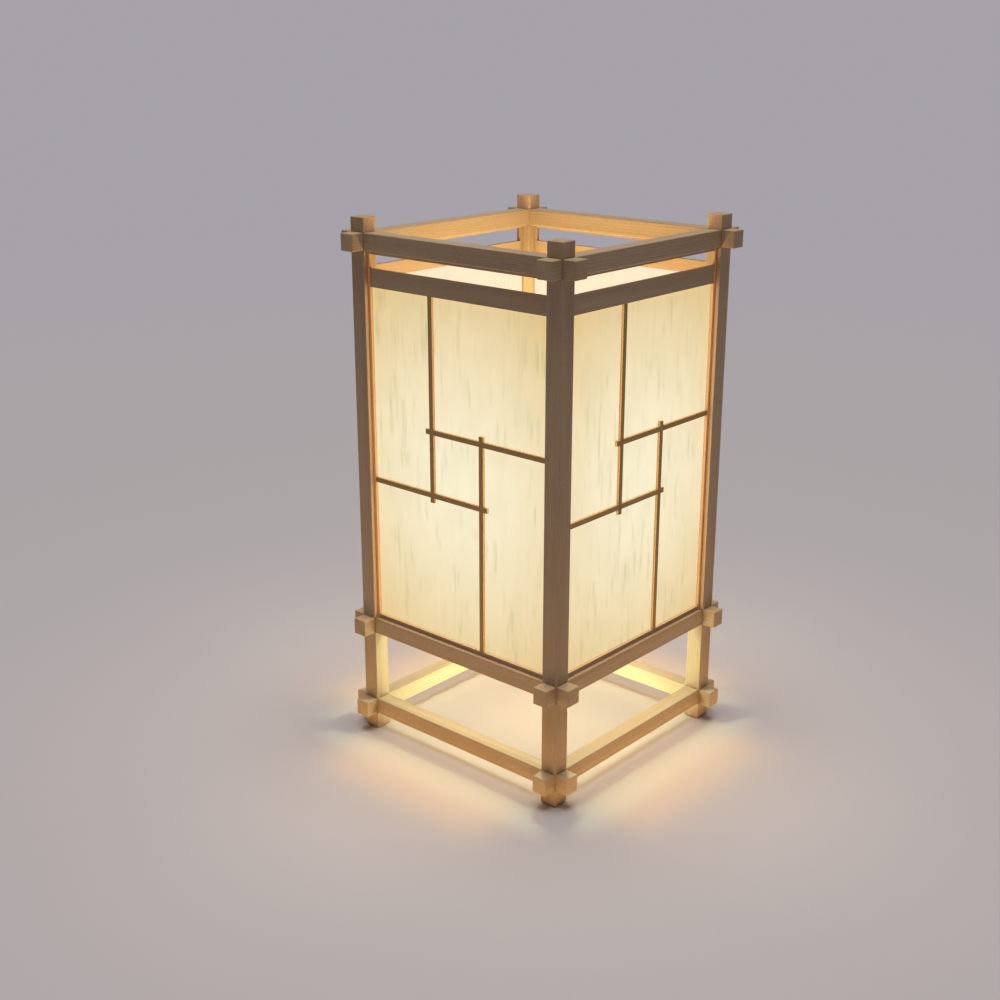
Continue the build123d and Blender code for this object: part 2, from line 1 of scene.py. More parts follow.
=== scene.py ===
"""Looks of the andon floor lamp, in metres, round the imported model.

The sections follow the lamp as it is put together: frame, lattice panels,
paper, cross bar, tube, lampholder and bulb, then the floor, lights and camera.
"""

from math import radians

import bpy
import numpy as np
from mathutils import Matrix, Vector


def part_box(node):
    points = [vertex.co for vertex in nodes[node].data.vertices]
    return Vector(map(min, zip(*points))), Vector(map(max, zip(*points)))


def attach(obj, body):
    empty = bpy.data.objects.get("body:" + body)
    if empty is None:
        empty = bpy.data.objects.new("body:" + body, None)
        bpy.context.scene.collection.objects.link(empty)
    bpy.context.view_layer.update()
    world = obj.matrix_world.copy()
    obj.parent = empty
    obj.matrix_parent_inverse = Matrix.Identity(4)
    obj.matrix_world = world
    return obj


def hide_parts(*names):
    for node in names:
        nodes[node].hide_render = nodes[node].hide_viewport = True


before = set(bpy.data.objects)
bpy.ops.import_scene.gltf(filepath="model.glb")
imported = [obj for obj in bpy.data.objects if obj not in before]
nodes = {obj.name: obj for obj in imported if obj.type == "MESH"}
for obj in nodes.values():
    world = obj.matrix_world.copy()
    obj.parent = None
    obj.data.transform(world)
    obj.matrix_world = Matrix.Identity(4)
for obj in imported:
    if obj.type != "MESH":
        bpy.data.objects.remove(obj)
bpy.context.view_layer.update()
SIDES = ["front", "right", "back", "left"]      # each a quarter turn further


# ------------------------------------------------------------------- frame
# Twelve rails halved over each other at the corners, and the post pieces that
# stand between them.  Planed light softwood, oiled, each with its grain along
# its length; the edges are rounded, with a painted highlight along them.

def node(tree, kind, sockets=(), **settings):
    """New shader node.  A socket takes a value, or the output it is fed by."""
    made = tree.nodes.new("ShaderNode" + kind)
    for name, value in settings.items():
        setattr(made, name, value)
    for key, value in dict(sockets).items():
        if isinstance(value, bpy.types.NodeSocket):
            tree.links.new(value, made.inputs[key])
        else:
            made.inputs[key].default_value = value
    return made


def calculate(tree, operation, *values):
    """Output of a Math node."""
    return node(tree, "Math", enumerate(values), operation=operation).outputs[0]


def remap(tree, value, low, high, to_low=0.0, to_high=1.0):
    """Output of a Map Range node with soft ends."""
    made = node(tree, "MapRange", {"Value": value, "From Min": low, "From Max": high,
                                   "To Min": to_low, "To Max": to_high},
                interpolation_type="SMOOTHSTEP")
    return made.outputs["Result"]


def noise(tree, vector, stretch, scale, detail=2.0):
    """Noise that is drawn out along an axis where stretch is under 1."""
    stretched = node(tree, "VectorMath", {0: vector, 1: stretch}, operation="MULTIPLY")
    made = node(tree, "TexNoise", {"Vector": stretched.outputs[0], "Scale": scale,
                                   "Detail": detail})
    return made.outputs["Fac"]


def blend(tree, amount, first, second):
    """Colour between two, first at 0 and second at 1."""
    made = node(tree, "Mix", {"Factor": amount, "A": first, "B": second}, data_type="RGBA")
    return made.outputs["Result"]


def new_group(name, inputs, outputs):
    """Empty shader node group with its named sockets, and their node ends."""
    group = bpy.data.node_groups.new(name, "ShaderNodeTree")
    for label, kind in inputs:
        group.interface.new_socket(label, in_out="INPUT", socket_type="NodeSocket" + kind)
    for label, kind in outputs:
        group.interface.new_socket(label, in_out="OUTPUT", socket_type="NodeSocket" + kind)
    given = group.nodes.new("NodeGroupInput").outputs
    result = group.nodes.new("NodeGroupOutput").inputs
    return group, given, result


def planed_softwood():
    """Solid softwood with its grain along Z: faint growth rings round a pith
    that lies outside the piece, slow streaks, fine fibres and short pores."""
    pith = (0.31, 0.17)             # from the tree's middle to the lamp's axis
    wander = 0.010                  # how far a ring strays from its circle
    group, given, result = new_group(
        "planed_softwood",
        [("Place", "Vector"), ("Pale", "Color"), ("Dark", "Color"), ("Ring Width", "Float"),
         ("Ring Depth", "Float"), ("Fibre Depth", "Float"), ("Pore Depth", "Float")],
        [("Color", "Color"), ("Roughness", "Float"), ("Height", "Float")])
    place = given["Place"]
    across = node(group, "SeparateXYZ", {0: place})
    stray = noise(group, place, (1, 1, 0.2), 7.0)
    drift = calculate(group, "MULTIPLY_ADD", stray, wander, -wander / 2)
    square_x = calculate(group, "POWER", calculate(group, "ADD", across.outputs[0], pith[0]), 2.0)
    square_y = calculate(group, "POWER", calculate(group, "ADD", across.outputs[1], pith[1]), 2.0)
    radius = calculate(group, "SQRT", calculate(group, "ADD", square_x, square_y))
    growth = calculate(group, "DIVIDE", calculate(group, "ADD", radius, drift), given["Ring Width"])
    age = calculate(group, "FRACT", growth)
    late_wood = calculate(group, "SUBTRACT", remap(group, age, 0.25, 0.9),
                          remap(group, age, 0.9, 1.0))
    fibre = noise(group, place, (1, 1, 0.04), 620.0, 3.0)
    streak = noise(group, place, (1, 1, 0.03), 110.0)
    pore = noise(group, place, (1, 1, 0.4), 900.0, 1.0)
    board = noise(group, place, (1, 1, 1), 3.7, 0.0)
    ring_shade = calculate(group, "MULTIPLY", late_wood, given["Ring Depth"])
    fibre_shade = calculate(group, "MULTIPLY", calculate(group, "SUBTRACT", fibre, 0.5),
                            given["Fibre Depth"])
    pore_shade = calculate(group, "MULTIPLY", calculate(group, "SUBTRACT", pore, 0.5),
                           given["Pore Depth"])
    slow = calculate(group, "ADD", streak, board)
    slow_shade = calculate(group, "MULTIPLY_ADD", slow, 0.6, -0.25)
    shade = calculate(group, "ADD", calculate(group, "ADD", ring_shade, fibre_shade),
                      calculate(group, "ADD", pore_shade, slow_shade))
    group.links.new(blend(group, shade, given["Pale"], given["Dark"]), result["Color"])
    group.links.new(remap(group, shade, -0.2, 1.2, 0.46, 0.64), result["Roughness"])
    pits = calculate(group, "MULTIPLY", pore, 0.6)
    group.links.new(calculate(group, "ADD", fibre, pits), result["Height"])
    return group


def painted_edge_highlight():
    """Rounded edges: a rounded normal, and a painted highlight: a paler colour
    where it turns away from the flat face, broken up by a slow noise."""
    group, given, result = new_group(
        "painted_edge_highlight",
        [("Place", "Vector"), ("Color", "Color"), ("Highlight", "Color"), ("Radius", "Float"),
         ("Amount", "Float")],
        [("Color", "Color"), ("Normal", "Vector")])
    rounded = node(group, "Bevel", {"Radius": given["Radius"]}, samples=6)
    flat = node(group, "NewGeometry")
    agreement = node(group, "VectorMath", {0: rounded.outputs[0], 1: flat.outputs["Normal"]},
                     operation="DOT_PRODUCT")
    turned_away = remap(group, agreement.outputs["Value"], 0.995, 0.86)
    patchy = remap(group, noise(group, given["Place"], (1, 1, 1), 45.0), 0.35, 0.65, 0.35, 1.0)
    highlit = calculate(group, "MULTIPLY", turned_away, patchy)
    # Painted highlight: how much paler the colour is along the edges.
    mask = calculate(group, "MULTIPLY", highlit, given["Amount"])
    group.links.new(blend(group, mask, given["Color"], given["Highlight"]), result["Color"])
    group.links.new(rounded.outputs[0], result["Normal"])
    return group


SOFTWOOD = planed_softwood()
EDGE_HIGHLIGHT_GROUP = painted_edge_highlight()
GRAIN_TURN = {                  # turns a piece's length onto the wood's Z
    "x": (0.0, radians(-90), 0.0),
    "y": (radians(90), 0.0, 0.0),
    "z": (0.0, 0.0, 0.0),
}


def new_material(name):
    """Material with only a Principled shader: itself, its tree, that shader's
    node and the Object coordinates that its patterns read."""
    material = bpy.data.materials.new(name)
    material.use_nodes = True
    tree = material.node_tree
    place = node(tree, "TexCoord").outputs["Object"]
    return material, tree, tree.nodes["Principled BSDF"], place


def wood(name, along, pale, dark, edge_highlight, ring_width, ring_depth, edge_radius):
    """Softwood whose grain runs along x, y or z."""
    material, tree, shader, place = new_material(f"{name}_along_{along}")
    turned = node(tree, "Mapping", {"Vector": place, "Rotation": GRAIN_TURN[along]}).outputs[0]
    timber = node(tree, "Group", {
        "Place": turned, "Pale": pale, "Dark": dark, "Ring Width": ring_width,
        "Ring Depth": ring_depth, "Fibre Depth": 0.5, "Pore Depth": 0.7}, node_tree=SOFTWOOD)
    # Painted highlight along the edges, laid over the grain's colour.
    edge = node(tree, "Group", {
        "Place": place, "Color": timber.outputs["Color"], "Highlight": edge_highlight,
        "Radius": edge_radius, "Amount": 0.4}, node_tree=EDGE_HIGHLIGHT_GROUP)
    relief = node(tree, "Bump", {"Height": timber.outputs["Height"], "Distance": 0.00012,
                                 "Strength": 0.35, "Normal": edge.outputs["Normal"]})
    tree.links.new(edge.outputs["Color"], shader.inputs["Base Color"])
    tree.links.new(timber.outputs["Roughness"], shader.inputs["Roughness"])
    tree.links.new(relief.outputs[0], shader.inputs["Normal"])
    shader.inputs["Specular IOR Level"].default_value = 0.35
    return material


def give(names, material):
    """Gives CAD nodes their finish."""
    for name in names:
        for slot in nodes[name].material_slots:
            slot.material = material


FRAME_PALE = (0.44, 0.315, 0.200, 1.0)
FRAME_DARK = (0.27, 0.175, 0.100, 1.0)
# Paler colour painted along the frame's edges as a highlight.
FRAME_EDGE_HIGHLIGHT = (0.54, 0.410, 0.275, 1.0)
frame_wood = {along: wood("frame_wood", along, FRAME_PALE, FRAME_DARK, FRAME_EDGE_HIGHLIGHT,
                          ring_width=0.0026, ring_depth=0.20, edge_radius=0.0009)
              for along in "xyz"}
for level in ("base_rail", "lower_rail", "top_rail"):
    give([f"{level}_front", f"{level}_back"], frame_wood["x"])
    give([f"{level}_left", f"{level}_right"], frame_wood["y"])
give([name for name in nodes if "_post_" in name], frame_wood["z"])
give(["post_caps", "feet"], frame_wood["z"])


# ---------------------------------------------------------- lattice panels
# Thin frames in the grooves of the posts, with a pinwheel of four kumiko
# strips halved over each other.  The same softwood, planed thinner; the
# strips are a shade browner.

PANEL_PALE = (0.43, 0.305, 0.190, 1.0)
PANEL_DARK = (0.27, 0.172, 0.098, 1.0)
KUMIKO_PALE = (0.42, 0.262, 0.100, 1.0)
KUMIKO_DARK = (0.26, 0.155, 0.055, 1.0)
panel_wood = {along: wood("panel_wood", along, PANEL_PALE, PANEL_DARK, FRAME_EDGE_HIGHLIGHT,
                          ring_width=0.0017, ring_depth=0.18, edge_radius=0.0004)
              for along in "xyz"}
# The strips' edges take the panels' pale colour as a painted highlight.
kumiko_wood = {along: wood("kumiko_wood", along, KUMIKO_PALE, KUMIKO_DARK, PANEL_PALE,
                           ring_width=0.0013, ring_depth=0.18, edge_radius=0.0003)
               for along in "xyz"}
for side in SIDES:
    crosswise = "x" if side in ("front", "back") else "y"
    give([f"{side}_panel_left_stile", f"{side}_panel_right_stile"], panel_wood["z"])
    give([f"{side}_panel_head_rails", f"{side}_panel_sill_rail"], panel_wood[crosswise])
    give([f"{side}_panel_kumiko_uprights"], kumiko_wood["z"])
    give([f"{side}_panel_kumiko_crossbars"], kumiko_wood[crosswise])


# ------------------------------------------------------------------- paper
# One sheet of washi to each panel, pasted on the back of the lattice and of
# the panel's frame.  Long-fibred translucent paper, lit from behind, slack by
# a few tenths of a millimetre where no wood holds it.

BULB_HEIGHT = (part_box("bulb_globe")[0].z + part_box("bulb_globe")[1].z) / 2
PAPER_STEP = 0.003              # between points of the sheet
PAPER_THICKNESS = 0.00025
PAPER_SLACK = 0.0005
SLACK_WAVE = (71, 23)           # radians to a metre along x and z
CROSS_WAVE = (-19, 37)
PASTE_REACH = 0.012             # from a pasted line to where the sheet is free
GLOW_NEAR, GLOW_FAR = 0.141, 0.270      # from the middle of the bulb
# The paper's glow, painted on as emission: the bulb's light coming through it.
GLOW_PALE = (0.860, 0.785, 0.565, 1.0)
GLOW_WARM = (0.670, 0.485, 0.210, 1.0)
GLOW_INSIDE = (0.830, 0.645, 0.490, 1.0)
FIBRE_MARK = (0.210, 0.270, 0.080, 1.0)         # light through a long fibre
PULP_PALE = (0.400, 0.350, 0.250, 1.0)
PULP_DARK = (0.220, 0.180, 0.110, 1.0)


def paste_lines():
    """Middle lines of the strips that hold the sheet, as (x0, z0, x1, z1)."""
    lines = []
    for piece in ("kumiko_uprights", "kumiko_crossbars"):
        vertices = nodes[f"front_panel_{piece}"].data.vertices
        points = np.empty(3 * len(vertices))
        vertices.foreach_get("co", points)
        points = points.reshape(-1, 3)
        axis = 0 if piece == "kumiko_uprights" else 2
        middle = (points[:, axis].min() + points[:, axis].max()) / 2
        for strip in (points[points[:, axis] < middle], points[points[:, axis] > middle]):
            low, high = strip.min(0), strip.max(0)
            centre = (low + high) / 2
            if axis == 0:
                lines.append((centre[0], low[2], centre[0], high[2]))
            else:
                lines.append((low[0], centre[2], high[0], centre[2]))
    return lines


def free_of_paste(x, z, borders):
    """0 on a pasted line and 1 well clear of all: the distance to the nearest
    strip or border, over the paste's reach, eased at both ends."""
    left, right, sill, head = borders
    distance = np.minimum.reduce([x - left, right - x, z - sill, head - z])
    for x0, z0, x1, z1 in paste_lines():
        beside = np.hypot(x - np.clip(x, x0, x1), z - np.clip(z, z0, z1))
        distance = np.minimum(distance, beside)
    share = np.clip(distance / PASTE_REACH, 0.0, 1.0)
    return share * share * (3 - 2 * share)


def mesh_object(name, points, faces, body):
    """Smooth piece of the lamp from points and faces, turned right side out."""
    points = points.reshape(-1, 3)
    mesh = bpy.data.meshes.new(name)
    mesh.from_pydata(points.tolist(), [], faces)
    mesh.calc_loop_triangles()
    corners = np.empty(3 * len(mesh.loop_triangles), dtype=np.int32)
    mesh.loop_triangles.foreach_get("vertices", corners)
    first, second, third = points[corners.reshape(-1, 3)].transpose(1, 0, 2)
    if (first * np.cross(second, third)).sum() < 0:         # six times the volume inside
        mesh.flip_normals()
    made = bpy.data.objects.new(name, mesh)
    bpy.context.scene.collection.objects.link(made)
    mesh.polygons.foreach_set("use_smooth", np.full(len(mesh.polygons), True))
    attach(made, body)
    return made


def grid_faces(rows, columns, close_rows=False, close_columns=False):
    """Quads of a grid of points, whose last row or column may meet the first."""
    row = np.arange(rows if close_rows else rows - 1)[:, None]
    column = np.arange(columns if close_columns else columns - 1)[None, :]
    next_row, next_column = (row + 1) % rows, (column + 1) % columns
    corners = [row * columns + column, row * columns + next_column,
               next_row * columns + next_column, next_row * columns + column]
    return np.stack(np.broadcast_arrays(*corners), axis=-1).reshape(-1, 4).tolist()


def paper_sheet(side):
    """Closed thin sheet in two layers.  Its depth is the pasted plane plus a
    slack that two crossed sine waves make uneven."""
    low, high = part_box("front_panel_washi")
    columns = round((high.x - low.x) / PAPER_STEP) + 1
    rows = round((high.z - low.z) / PAPER_STEP) + 1
    x, z = np.meshgrid(np.linspace(low.x, high.x, columns),
                       np.linspace(low.z, high.z, rows))
    turn = SIDES.index(side)
    opening = (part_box("front_panel_left_stile")[1].x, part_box("front_panel_right_stile")[0].x,
               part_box("front_panel_sill_rail")[1].z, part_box("front_panel_head_rails")[0].z)
    wave = np.sin(SLACK_WAVE[0] * x + SLACK_WAVE[1] * z + turn)
    cross = np.sin(CROSS_WAVE[1] * z + CROSS_WAVE[0] * x + 2 * turn)
    slack = PAPER_SLACK * (0.6 + 0.4 * wave * cross) * free_of_paste(x, z, opening)
    outer = np.stack([x, low.y + slack, z], axis=-1)
    inner = np.stack([x, low.y + slack + PAPER_THICKNESS, z], axis=-1)
    loop = np.concatenate([outer, inner[:, ::-1]], axis=1)
    for _ in range(turn):
        loop = np.stack([-loop[..., 1], loop[..., 0], loop[..., 2]], axis=-1)
    faces = grid_faces(rows, 2 * columns, close_columns=True)
    near = np.arange(columns - 1)
    across = 2 * columns - 1 - near             # the same place on the other layer
    for row, order in ((0, 1), (rows - 1, -1)):
        rim = row * 2 * columns + np.stack([near, across, across - 1, near + 1], axis=-1)
        faces += rim[:, ::order].tolist()
    piece = mesh_object(f"{side}_paper", loop, faces, "lantern")
    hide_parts(f"{side}_panel_washi")
    return piece


def washi():
    """Lit paper, with cloudy pulp and upright strokes of long fibre.  The bulb's
    light through it is painted on as emission: outside palest next to the bulb and
    warmer further off, inside even, drowning most of the strokes."""
    material, tree, shader, place = new_material("washi")
    from_bulb = node(tree, "VectorMath", {0: place, 1: (0.0, 0.0, BULB_HEIGHT)},
                     operation="DISTANCE")
    far = node(tree, "MapRange", {"Value": from_bulb.outputs["Value"],
                                  "From Min": GLOW_NEAR, "From Max": GLOW_FAR})
    outside = blend(tree, far.outputs["Result"], GLOW_PALE, GLOW_WARM)
    outwards = node(tree, "VectorMath", {0: place, 1: (1.0, 1.0, 0.0)}, operation="MULTIPLY")
    normal = node(tree, "NewGeometry").outputs["Normal"]
    facing = node(tree, "VectorMath", {0: outwards.outputs[0], 1: normal},
                  operation="DOT_PRODUCT")
    inside = calculate(tree, "LESS_THAN", facing.outputs["Value"], 0.0)
    glow = blend(tree, inside, outside, GLOW_INSIDE)
    cloud = noise(tree, place, (1, 1, 0.6), 38.0, 2.0)
    patch = remap(tree, noise(tree, place, (1, 1, 0.18), 90.0, 1.0), 0.50, 0.74)
    stroke = remap(tree, noise(tree, place, (1, 1, 0.105), 210.0, 1.0), 0.52, 0.80)
    crowd = remap(tree, noise(tree, place, (1, 1, 0.5), 24.0, 0.0), 0.35, 0.60, 0.40, 1.0)
    fine = noise(tree, place, (1, 1, 0.12), 700.0, 2.0)
    strokes = calculate(tree, "MULTIPLY", stroke, crowd)
    marks = calculate(tree, "MULTIPLY_ADD", patch, 0.10, strokes)
    shade = calculate(tree, "MULTIPLY_ADD", calculate(tree, "SUBTRACT", cloud, 0.5), 0.20, 0.05)
    shade = calculate(tree, "MULTIPLY_ADD", marks, 0.26, shade)
    shade = calculate(tree, "MULTIPLY_ADD", calculate(tree, "SUBTRACT", fine, 0.5), 0.05, shade)
    drowned = calculate(tree, "MULTIPLY_ADD", inside, -0.7, 1.0)
    # Painted glow: the bulb's light through the paper, darker where long fibres lie.
    light = blend(tree, calculate(tree, "MULTIPLY", shade, drowned), glow, FIBRE_MARK)
    pulp = blend(tree, shade, PULP_PALE, PULP_DARK)
    tooth = calculate(tree, "MULTIPLY_ADD", stroke, 0.8, fine)
    relief = node(tree, "Bump", {"Height": tooth, "Distance": 0.00008, "Strength": 0.3})
    tree.links.new(pulp, shader.inputs["Base Color"])
    tree.links.new(light, shader.inputs["Emission Color"])
    tree.links.new(relief.outputs[0], shader.inputs["Normal"])
    shader.inputs["Emission Strength"].default_value = 1.0
    shader.inputs["Roughness"].default_value = 0.85
    shader.inputs["Specular IOR Level"].default_value = 0.2
    return material


washi_paper = washi()
papers = [paper_sheet(side) for side in SIDES]
for paper in papers:
    paper.data.materials.append(washi_paper)


# --------------------------------------------------------------- cross bar
# Flat bar let into the two side rails of the lower frame, with a countersunk
# wood screw at each end.  It carries the tube, the holder and the bulb.

give(["cross_bar"], frame_wood["x"])


def metal(name, colour, roughness, scale):
    """Worked metal: a base colour and a roughness that a fine noise breaks up."""
    material, tree, shader, place = new_material(name)
    grain = noise(tree, place, (1, 1, 1), scale, 3.0)
    dull = tuple(0.78 * part for part in colour[:3]) + (1.0,)
    tree.links.new(blend(tree, grain, colour, dull), shader.inputs["Base Color"])
    tree.links.new(remap(tree, grain, 0.3, 0.7, roughness - 0.08, roughness + 0.1),
                   shader.inputs["Roughness"])
    relief = node(tree, "Bump", {"Height": grain, "Distance": 0.00003, "Strength": 0.25})
    tree.links.new(relief.outputs[0], shader.inputs["Normal"])
    shader.inputs["Metallic"].default_value = 1.0
    return material


zinc_plate = metal("zinc_plate", (0.64, 0.62, 0.57, 1.0), 0.38, 900.0)
give(["cross_bar_screws"], zinc_plate)


# -------------------------------------------------------------------- tube
# Threaded steel tube, M10 by 1, clamped to the bar between two flanged nuts.
# The lead comes up through it, past a black moulded bush at its foot.

def turned_object(name, radius, height, body, slot, poles=False):
    """Closed shell about Z.  The rows of the radius and height arrays go once
    round its section, or from one pole on the axis to the other, and the
    columns go round the axis."""
    rows, columns = radius.shape
    angle = np.linspace(0.0, 2 * np.pi, columns, endpoint=False)
    points = np.stack([radius * np.cos(angle), radius * np.sin(angle), height], axis=-1)
    points = points.reshape(-1, 3)
    faces = grid_faces(rows, columns, close_rows=not poles, close_columns=True)
    if poles:
        column = np.arange(columns)
        for start, order in (((rows - 1) * columns, 1), (0, -1)):
            pole = np.full(columns, len(points))
            fan = np.stack([start + column, start + (column + 1) % columns, pole], axis=-1)
            faces += fan[:, ::order].tolist()
            points = np.vstack([points, [0.0, 0.0, points[start, 2]]])
    return mesh_object(name, points, faces, body)


def thread(height, angle, pitch, depth, low, high, lead):
    """Height of a rounded right-hand thread above its root, which dies out
    over a lead at both ends: a cosine of the turns risen less the angle."""
    wave = 0.5 + 0.5 * np.cos(2 * np.pi * height / pitch - angle)
    inside = np.clip(np.minimum(height - low, high - height) / lead, 0.0, 1.0)
    return depth * wave * inside


def section(outer, outer_height, inner, inner_height):
    """Joins the outer and the inner wall into the rows of one closed section."""
    return (np.concatenate([outer, inner[::-1]]),
            np.concatenate([outer_height, inner_height[::-1]]))


PIPE_PITCH = 0.001
PIPE_THREAD = 0.0005
PIPE_BORE = 0.0038              # radius
ROWS_TO_A_TURN = 4              # of points up the fine thread
pipe_low, pipe_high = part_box("lamp_pipe")
around = np.linspace(0.0, 2 * np.pi, 24, endpoint=False)[None, :]
pipe_rows = round(ROWS_TO_A_TURN * (pipe_high.z - pipe_low.z) / PIPE_PITCH)
up = np.linspace(pipe_low.z, pipe_high.z, pipe_rows)[:, None] + 0 * around
outer = pipe_high.x - PIPE_THREAD + thread(up, around, PIPE_PITCH, PIPE_THREAD,
                                           pipe_low.z, pipe_high.z, PIPE_PITCH)
ends = up[[0, -1]]
pipe = turned_object("threaded_tube", *section(outer, up, np.full_like(ends, PIPE_BORE), ends),
                     "lantern", "zinc_steel")
pipe.data.materials.append(zinc_plate)
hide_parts("lamp_pipe")
give(["pipe_nuts"], zinc_plate)


def moulding(name, colour, roughness):
    """Moulded plastic: one colour with a faint cloudiness and a fine texture."""
    material, tree, shader, place = new_material(name)
    cloud = noise(tree, place, (1, 1, 1), 90.0, 2.0)
    skin = noise(tree, place, (1, 1, 1), 1500.0, 1.0)
    deeper = tuple(0.86 * part for part in colour[:3]) + (1.0,)
    tree.links.new(blend(tree, cloud, colour, deeper), shader.inputs["Base Color"])
    tree.links.new(remap(tree, skin, 0.3, 0.7, roughness - 0.05, roughness + 0.08),
                   shader.inputs["Roughness"])
    relief = node(tree, "Bump", {"Height": skin, "Distance": 0.00002, "Strength": 0.3})
    tree.links.new(relief.outputs[0], shader.inputs["Normal"])
    return material


give(["cord_bush"], moulding("bush_black", (0.03, 0.03, 0.032, 1.0), 0.45))


# -------------------------------------------------------------- lampholder
# Moulded ivory cup screwed on the tube, with a brass screw shell rolled to
# the bulb's thread and a sprung contact in its floor.

EDISON_PITCH = 0.003629
EDISON_DEPTH = 0.0005
SHELL_WALL = 0.0004
SHELL_RADIUS = 0.0133           # inside, where the thread is widest
SHELL_FOOT = 0.0025             # plain height under the thread
SHELL_PLAIN = 0.001             # plain height over it, at the rim
SHELL_LIP = 0.0003              # how far the rim is spun out
LIP_HEIGHT = 0.0012             # over this height
SHELL_HOLE = 0.0070             # radius of the hole in its floor
CONTACT_RADIUS, CONTACT_TIP = 0.0040, 0.0011
CONTACT_HEIGHT = 0.0060
HAIR_GAP = 0.00002              # keeps two faces from lying in one plane
give(["lampholder_body"], moulding("holder_ivory", (0.74, 0.69, 0.56, 1.0), 0.32))
brass = metal("drawn_brass", (0.80, 0.58, 0.25, 1.0), 0.30, 700.0)


def shell_and_contact():
    """Screw shell: a cup whose wall is its widest radius less a thread that
    dies out before the rim, over a flat rim of floor.  The contact in its
    middle is a button, its radius a power of the height that is left."""
    low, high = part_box("lampholder_contacts")
    around = np.linspace(0.0, 2 * np.pi, 96, endpoint=False)[None, :]
    up = np.linspace(low.z + SHELL_FOOT, high.z, 90)[:, None] + 0 * around
    wall = SHELL_RADIUS - thread(up, around + np.pi, EDISON_PITCH, EDISON_DEPTH,
                                 low.z + SHELL_FOOT, high.z - SHELL_PLAIN, EDISON_PITCH / 2)
    lip = SHELL_LIP * np.clip(1 - (high.z - up) / LIP_HEIGHT, 0.0, 1.0) ** 2
    turn = np.linspace(0.0, np.pi / 2, 6)[:, None] + 0 * around
    hole = SHELL_HOLE + 0 * around
    foot_radius = SHELL_RADIUS - SHELL_FOOT * (1 - np.sin(turn))
    foot_height = low.z + SHELL_WALL + SHELL_FOOT * (1 - np.cos(turn)) * 0.8
    inner_radius = np.concatenate([hole, foot_radius, wall + lip])
    inner_height = np.concatenate([low.z + SHELL_WALL + 0 * hole, foot_height, up])
    outer_radius = np.concatenate([hole, foot_radius + SHELL_WALL, wall + lip + SHELL_WALL])
    outer_height = np.concatenate([low.z + 0 * hole, foot_height - SHELL_WALL, up])
    walls = section(outer_radius, outer_height, inner_radius, inner_height)
    shell = turned_object("screw_shell", *walls, "lantern", "contact_brass")
    share = np.linspace(0.0, 1.0, 24)[:, None] + 0 * around[:, ::2]
    narrowing = CONTACT_TIP + (CONTACT_RADIUS - CONTACT_TIP) * (1 - share) ** 2.2
    button = np.where(share < 0.12, CONTACT_RADIUS, narrowing)
    tip = np.sqrt(np.clip(1 - np.clip((share - 0.8) / 0.2, 0.0, 1.0) ** 2, 0.0004, 1.0))
    contact = turned_object("centre_contact", button * tip,
                            low.z + HAIR_GAP + CONTACT_HEIGHT * share,
                            "lantern", "contact_brass", poles=True)
    return shell, contact


for piece in shell_and_contact():
    piece.data.materials.append(brass)
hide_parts("lampholder_contacts")


# -------------------------------------------------------------------- bulb
# Opal glass globe cemented in a pressed nickel cap, with a black glass
# insulator and a solder contact at its foot.  It screws into the holder.

def opal_glass():
    """Opal glass lit from within: a little brighter low down, where the
    light source sits over the neck."""
    material, tree, shader, place = new_material("opal_glass")
    height = node(tree, "SeparateXYZ", {0: place}).outputs[2]
    low = remap(tree, height, BULB_HEIGHT + 0.03, BULB_HEIGHT - 0.04)
    milk = noise(tree, place, (1, 1, 1), 60.0, 2.0)
    light = blend(tree, low, (1.0, 0.80, 0.52, 1.0), (1.0, 0.88, 0.66, 1.0))
    cloud = remap(tree, milk, 0.3, 0.7, 0.0, 0.12)
    tree.links.new(blend(tree, cloud, light, (0.9, 0.68, 0.4, 1.0)),
                   shader.inputs["Emission Color"])
    shader.inputs["Base Color"].default_value = (0.80, 0.77, 0.70, 1.0)
    shader.inputs["Emission Strength"].default_value = 1.0
    shader.inputs["Roughness"].default_value = 0.16
    return material


CAP_RADIUS = 0.0130
CAP_WALL = 0.00012
CAP_FOOT = 0.0035               # height of the cap's rounded foot
CAP_COLLAR = 0.0030             # plain height over the thread
CAP_GAP = 0.0002                # round the insulator
INSULATOR_RADIUS = 0.0095
INSULATOR_RIM = 0.0004          # plain height over the cone
SOLDER_RADIUS = 0.0042
SOLDER_LEDGE = 0.0003           # of the cone's tip, round the button
SOLDER_HEIGHT = 0.0010          # room under the cone for the button
SOLDER_BOW = 0.00095            # how far the button stands out
SOLDER_SUNK = 0.0001            # how far it goes into the cone
GLOBE_RADIUS = 0.0300
GLOBE_WALL = 0.0010
NECK_RADIUS = 0.0123


def screw_cap():
    """Pressed cap: its root radius plus a thread that dies out at both ends,
    a foot that rounds in to the insulator, and a collar spun out a little."""
    low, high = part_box("bulb_cap")
    around = np.linspace(0.0, 2 * np.pi, 96, endpoint=False)[None, :]
    root = CAP_RADIUS - EDISON_DEPTH
    top = high.z - CAP_COLLAR
    up = np.linspace(low.z + CAP_FOOT, top, 80)[:, None] + 0 * around
    wall = root + thread(up, around, EDISON_PITCH, EDISON_DEPTH,
                         low.z + CAP_FOOT, top, EDISON_PITCH / 2)
    turn = np.linspace(-np.pi / 2, 0.0, 12)[:-1, None] + 0 * around
    hole = INSULATOR_RADIUS + CAP_GAP
    foot_radius = hole + (root - hole) * np.cos(turn)
    foot_height = low.z + CAP_FOOT * (1 + np.sin(turn))
    rise = np.linspace(0.0, 1.0, 8)[1:, None] + 0 * around
    collar_radius = root + (EDISON_DEPTH - CAP_WALL) * np.sin(np.pi / 2 * rise)
    outer = np.concatenate([foot_radius, wall, collar_radius])
    outer_height = np.concatenate([foot_height, up, top + (high.z - top) * rise])
    walls = section(outer, outer_height, outer - CAP_WALL, outer_height + HAIR_GAP)
    return turned_object("screw_cap", *walls, "bulb_body", "cap_nickel")


